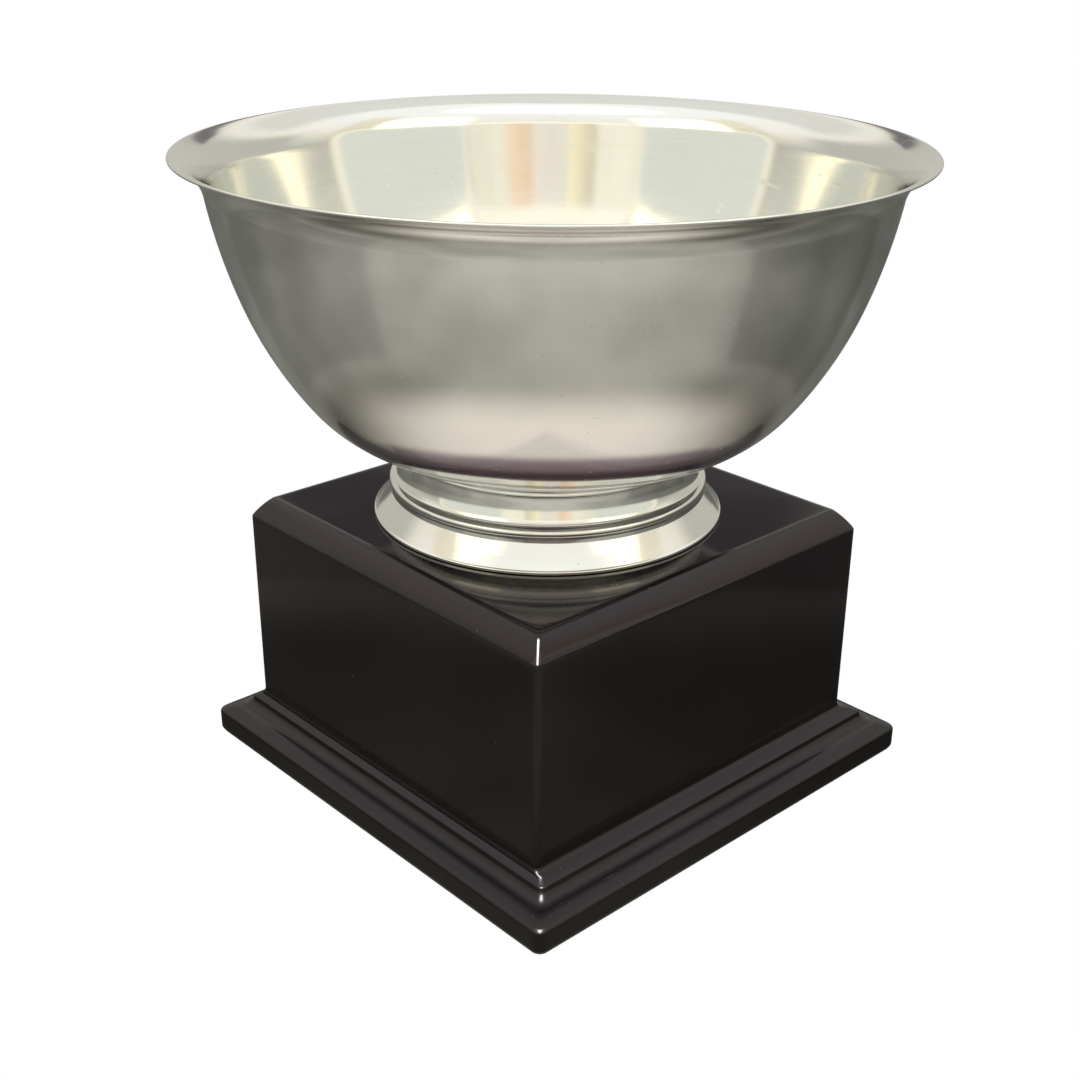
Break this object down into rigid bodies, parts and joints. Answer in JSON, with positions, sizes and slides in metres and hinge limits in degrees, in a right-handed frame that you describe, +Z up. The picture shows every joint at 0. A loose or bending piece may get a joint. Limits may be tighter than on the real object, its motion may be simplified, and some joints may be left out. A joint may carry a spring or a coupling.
{
  "type": "trophy bowl",
  "caption": "Wide flared metal trophy bowl on a turned foot, bolted to a square black lacquered plinth: a bevelled block on a stepped, moulded base board, on felt pads.",
  "frame": {"origin": "on the floor under the bowl's axis and the middle of the plinth's block, at the level of the felt pads' undersides", "axes": "+Z up along the bowl's axis; +X and +Y square to the plinth's faces; the picture looks at the -Y and +X faces"},
  "size_m": [0.2286, 0.2286, 0.2114],
  "materials": {
    "bowl_metal": "polished spun metal with a faint satin grain",
    "plate_metal": "plain rolled",
    "zinc_steel": "bright zinc plate",
    "black_lacquer": "high gloss black lacquer",
    "raw_wood": "sawn, unfinished",
    "felt": "pressed felt"
  },
  "bodies": {
    "root": {"bowl_shell": "bowl_metal", "bowl_foot": "bowl_metal", "foot_plate": "plate_metal", "mounting_bolt": "zinc_steel", "fender_washer": "zinc_steel", "spring_washer": "zinc_steel", "hex_nut": "zinc_steel", "backing_block": "raw_wood", "plinth_top_board": "black_lacquer", "side_board_front": "black_lacquer", "side_board_right": "black_lacquer", "side_board_back": "black_lacquer", "side_board_left": "black_lacquer", "base_board": "black_lacquer", "corner_block_1": "raw_wood", "corner_block_2": "raw_wood", "corner_block_3": "raw_wood", "corner_block_4": "raw_wood", "base_screw_1": "zinc_steel", "base_screw_2": "zinc_steel", "base_screw_3": "zinc_steel", "base_screw_4": "zinc_steel", "felt_pad_1": "felt", "felt_pad_2": "felt", "felt_pad_3": "felt", "felt_pad_4": "felt"}
  },
  "joints": []
}
